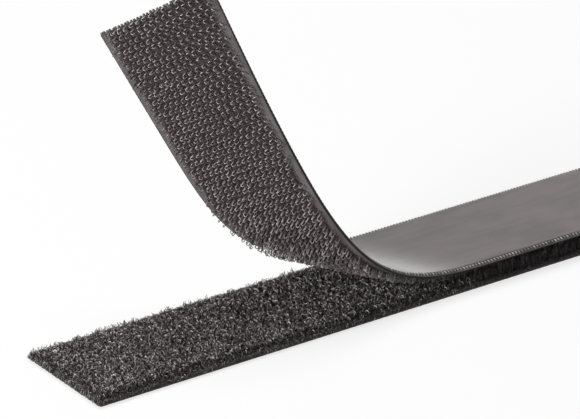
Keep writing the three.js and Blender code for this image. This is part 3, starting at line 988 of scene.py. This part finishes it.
hook_yarn_finish = strand_finish("hook_selvage_yarn", warm_grey(0.012), warm_grey(0.76), 0.75, 0.45)
edge_draw = np.random.default_rng(43)
edge_places = np.arange(FREE_END + 0.4, MATED_END - 0.2, TURN_PITCH)
# Painted shade: the beads are dimmed, those on the back edge more than those on the front.
edge_tones = edge_draw.uniform(*BEAD_TONES, (2, len(edge_places))) * BEAD_SHADE
for length in lengths:
    bundles = []
    for way, tones in zip((-1, 1), edge_tones):
        here = lies_on(length, edge_places, TAPE_WIDTH if way > 0 else 0.0)
        places, tones = edge_places[here], tones[here]
        rise = HOOK_TURN_RISE + (BACK_TURN_LIFT if way > 0 else 0.0)
        turn = (TURN_WAY, HOOK_TURN_REACH, rise, BEAD_RADIUS, ALONG)
        stitch = (STITCH_WAY, STITCH_REACH, STITCH_RISE, STITCH_RADIUS, UPWARD)
        cord = (STITCH_WAY, CORD_REACH, CORD_RISE, CORD_RADIUS, UPWARD)
        bundles += [
            edge_yarns(places, way, *turn, tones),
            edge_yarns(places, way, *stitch, between(STITCH_TONES, tones)),
            # The cord's dark tone is painted shade in the gaps between the beads.
            edge_yarns(places, way, *cord, np.full(len(places), CORD_TONE)),
        ]
    if length["low"] == -np.inf:
        root = FREE_END + END_FRAY + HOOK_YARN_ROOT
        bundles.append(yarn_ends(root, FREE_END - 0.25, height=-0.42, draw=edge_draw))
    if length["high"] == np.inf:
        root = MATED_END - END_FRAY - HOOK_YARN_ROOT
        bundles.append(yarn_ends(root, MATED_END + 0.2, height=-0.3, draw=edge_draw))
    edge = strand_piece(f"hook_selvage_yarn_{length['name']}", bundles, hook_yarn_finish, peel)
    bend_with(edge)


# Hook strip, hooks: stiff nylon monofilament, woven in as loops, heat set and then cut on one side. Each
# leaves a crook and the short stub of its other leg. Two rows that slant apart make one row of chevrons,
# and each row of chevrons lies a little to the side of the last.
HOOK_COLUMNS = 16
HOOK_COLUMN_PITCH = 1.395
HOOK_ROW_PITCH = 1.45
HOOK_ROW_SHIFT = -0.37
HOOK_FIELD_EDGE = 1.35
ROW_STRAY = (0.05, 0.3)
HOOK_STRAY = 0.045
HOOK_END_MARGIN = 0.5
HOOK_WIRE = 0.088
HOOK_SIDES = 5
HOOK_REACH = 0.66
HOOK_HEADINGS = np.radians([80, -36])
HOOK_OFFSETS = np.array([[-0.25, -0.17], [0.25, 0.17]])
HOOK_WAY = HOOK_REACH * np.array([0, 0, 0.01, 0.08, 0.22, 0.45, 0.7, 0.9, 1.0, 0.99, 0.93])
HOOK_RISE = np.array([-0.15, 0.35, 0.8, 1.15, 1.4, 1.55, 1.56, 1.45, 1.25, 1.08, 0.94])
STUB_WAY = HOOK_REACH * np.array([1.04, 1.04, 1.02, 0.99])
STUB_RISE = np.array([-0.15, 0.25, 0.52, 0.76])
HOOK_TALL = (0.88, 1.05)
HOOK_TONES = (0.1, 1.0)
HOOK_SHADE_FROM = 45.5
HOOK_SHADE_RUN = 13.0
HOOK_SHADE_POWER = 2.4
HOOK_BACK_FROM = 21.5
HOOK_BACK_RUN = 1.5
HOOK_BACK_SHADE = 0.7


def hook_bundle(x, y, way, lean, tall, tones, along, rise):
    """Bent filaments at roots x and y, standing down from the cloth, as a bundle for strand_piece."""
    ahead = np.stack([np.cos(way), np.sin(way)], 1)
    reach = along + lean[:, None] * np.maximum(rise, 0)
    paths = np.empty((*reach.shape, 3))
    paths[:, :, :2] = np.stack([x, y], 1)[:, None] + ahead[:, None] * reach[:, :, None]
    paths[:, :, 2] = -HOOK_CLOTH - rise * tall[:, None]
    radii = np.full(paths.shape[:2], HOOK_WIRE)
    radii[:, -1] *= 0.8
    side_way = np.stack([-ahead[:, 1], ahead[:, 0], np.zeros(len(x))], 1)
    return paths, radii, HOOK_SIDES, side_way, tones


hook_finish = strand_finish("hook_filament", warm_grey(0.09), warm_grey(0.71), 0.1, 0.36)
hook_draw = np.random.default_rng(61)
row_places = np.arange(FREE_END + HOOK_END_MARGIN, MATED_END - HOOK_END_MARGIN, HOOK_ROW_PITCH)
row_places = row_places + hook_draw.normal(0, ROW_STRAY[0], len(row_places))
row_shifts = HOOK_ROW_SHIFT * np.arange(len(row_places))
row_shifts = row_shifts + hook_draw.normal(0, ROW_STRAY[1], len(row_places))
row, column, slant = np.indices((len(row_places), HOOK_COLUMNS, 2)).reshape(3, -1)
hook_way = HOOK_HEADINGS[slant]
shift = (row_shifts[row] + HOOK_OFFSETS[slant, 1]) / HOOK_COLUMN_PITCH + column
root_y = HOOK_FIELD_EDGE + HOOK_COLUMN_PITCH * (shift % HOOK_COLUMNS)
root_x = row_places[row] + HOOK_OFFSETS[slant, 0]
root_x = root_x - HOOK_REACH / 2 * np.cos(hook_way) + hook_draw.normal(0, HOOK_STRAY, len(row))
root_y = root_y - HOOK_REACH / 2 * np.sin(hook_way) + hook_draw.normal(0, HOOK_STRAY, len(row))
root_x = np.clip(root_x, FREE_END + 0.3, MATED_END - 0.9)
hook_way = hook_way + hook_draw.normal(0, 0.16, len(row))
hook_lean = hook_draw.normal(0, 0.06, len(root_x))
hook_tall = hook_draw.uniform(*HOOK_TALL, len(root_x))
hook_tones = between(HOOK_TONES, hook_draw.beta(2.2, 1.9, len(root_x)))
# Painted shade: hooks darker towards the bend, where the bent strip shades them.
hook_shade = np.clip((fold_place(root_x, root_y) - HOOK_SHADE_FROM) / HOOK_SHADE_RUN, 0, 1)
hook_tones = hook_tones ** (1 + HOOK_SHADE_POWER * hook_shade)
# Painted shade: hooks near the back edge are darker.
hook_tones *= 1 - HOOK_BACK_SHADE * np.clip((root_y - HOOK_BACK_FROM) / HOOK_BACK_RUN, 0, 1)
for length in lengths:
    here = lies_on(length, root_x, root_y)
    lot = [values[here] for values in (root_x, root_y, hook_way, hook_lean, hook_tall, hook_tones)]
    hooks = strand_piece(
        f"hook_rows_{length['name']}",
        [hook_bundle(*lot, HOOK_WAY, HOOK_RISE), hook_bundle(*lot, STUB_WAY, STUB_RISE)],
        hook_finish,
        peel,
    )
    bend_with(hooks)


# Hook strip, back coating: a satin grey resin film on the back of the hook cloth, rolled on between the
# selvages. It is clouded and faintly streaked along the tape.
COAT_BOTTOM = 0.05
COAT_TOP = 0.25
COAT_EDGE = 0.72
COAT_STEP = 0.5
COAT_RIM = 0.06
COAT_WORN = (0.05, 0.06)

coat_finish = resin_finish("hook_back_coating", warm_grey(0.022, 0.18), warm_grey(0.085, 0.18), 0.42)
coat_across = spaced(COAT_EDGE, TAPE_WIDTH - COAT_EDGE, COAT_STEP)
coat_rims = [coat_across[0] + COAT_RIM, coat_across[-1] - COAT_RIM]
coat_across = np.sort(np.concatenate([coat_across, coat_rims]))
for length in lengths:
    flat = length_grid(length, coat_across, COAT_STEP)
    y = flat[:, :, 1]
    worn = COAT_WORN[1] * np.clip(1 - (from_edge(y) - COAT_EDGE) / COAT_WORN[0], 0, 1)
    name = f"hook_back_coating_{length['name']}"
    coat = shell_piece(name, flat, COAT_TOP - worn, COAT_BOTTOM, coat_finish, peel)
    bend_with(coat)
    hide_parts(*[f"hook_coating_{end}" for end in length["nodes"]])


# Table: a plain white sheet under the tape, wide enough for every view. It shows white to the camera and
# in reflections, and keeps the tape's shadow.
TABLE_HALF = 3.0
TABLE_TOP = -0.0001
TABLE_GREY = 0.3
TABLE_LIFT = 0.72


def seen_directly(tree):
    """1 for rays from the camera or from a mirror or glass, 0 for the light on the object."""
    path = add_node(tree, "ShaderNodeLightPath")
    seen = maths(tree, "MAXIMUM", path.outputs["Is Camera Ray"], path.outputs["Is Glossy Ray"])
    return maths(tree, "MAXIMUM", seen, path.outputs["Is Transmission Ray"])


table_mesh = bpy.data.meshes.new("table")
table_mesh.from_pydata(
    [(x * TABLE_HALF, y * TABLE_HALF, TABLE_TOP) for x, y in ((-1, -1), (1, -1), (1, 1), (-1, 1))],
    [],
    [(0, 1, 2, 3)],
)
table = add_object("table", table_mesh)
table_finish, table_tree, table_shader = new_finish("table")
set_look(table_tree, table_shader, (TABLE_GREY, TABLE_GREY, TABLE_GREY, 1.0), 1.0, 0.0)
table_glow = maths(table_tree, "MULTIPLY", seen_directly(table_tree), TABLE_LIFT)
table_lift = {"Emission Color": (1.0, 1.0, 1.0, 1.0), "Emission Strength": table_glow}
set_inputs(table_tree, table_shader, table_lift)
table_mesh.materials.append(table_finish)

# Studio: one large soft lamp above and behind the tape, one from the left, a weak low one behind that
# lights the bend's rim, and an even grey surround that shows white to the camera.
SURROUND = 0.12
LAMP_AIM = Vector((0.0, 0.0, 0.02))
lamps = {
    "lamp_above": ((0.15, 0.35, 1.0), 0.5, 5.8),
    "lamp_left": ((-1.05, -0.07, 0.38), 0.5, 12.0),
    "lamp_back": ((0.74, 0.94, 0.1), 0.3, 1.65),
}
for name, (place, size, power) in lamps.items():
    light = bpy.data.lights.new(name, "AREA")
    light.size = size
    light.energy = power
    lamp = add_object(name, light)
    lamp.location = place
    lamp.rotation_euler = (LAMP_AIM - Vector(place)).to_track_quat("-Z", "Y").to_euler()
world = bpy.data.worlds.new("studio")
world.use_nodes = True
world_tree = world.node_tree
world_tree.nodes.clear()
world_strength = ranged(world_tree, seen_directly(world_tree), SURROUND, 1.0)
world_light = {"Color": (1.0, 1.0, 1.0, 1.0), "Strength": world_strength}
world_glow = add_node(world_tree, "ShaderNodeBackground", world_light)
add_node(world_tree, "ShaderNodeOutputWorld", {0: world_glow.outputs[0]})
bpy.context.scene.world = world
bpy.context.scene.view_settings.view_transform = "Standard"

# Camera: a long lens from the front left, at the angle that the edges in the photograph show. Its place
# and lens are fitted to them, for a picture of 580 by 419 pixels.
CAMERA_AZIMUTH = math.radians(-35.81)
CAMERA_ELEVATION = math.radians(24.93)
CAMERA_ROLL = math.radians(0.39)
camera_data = bpy.data.cameras.new("camera")
camera_data.sensor_fit = "HORIZONTAL"
camera_data.sensor_width = 36.0
camera_data.lens = 285.97
camera = add_object("camera", camera_data)
camera.location = (-0.49011, -0.65695, 0.39895)
camera_back = Vector(
    (
        math.sin(CAMERA_AZIMUTH) * math.cos(CAMERA_ELEVATION),
        -math.cos(CAMERA_AZIMUTH) * math.cos(CAMERA_ELEVATION),
        math.sin(CAMERA_ELEVATION),
    )
)
camera.rotation_mode = "QUATERNION"
camera_level = (-camera_back).to_track_quat("-Z", "Y")
camera.rotation_quaternion = camera_level @ Quaternion((0.0, 0.0, 1.0), CAMERA_ROLL)
bpy.context.scene.camera = camera
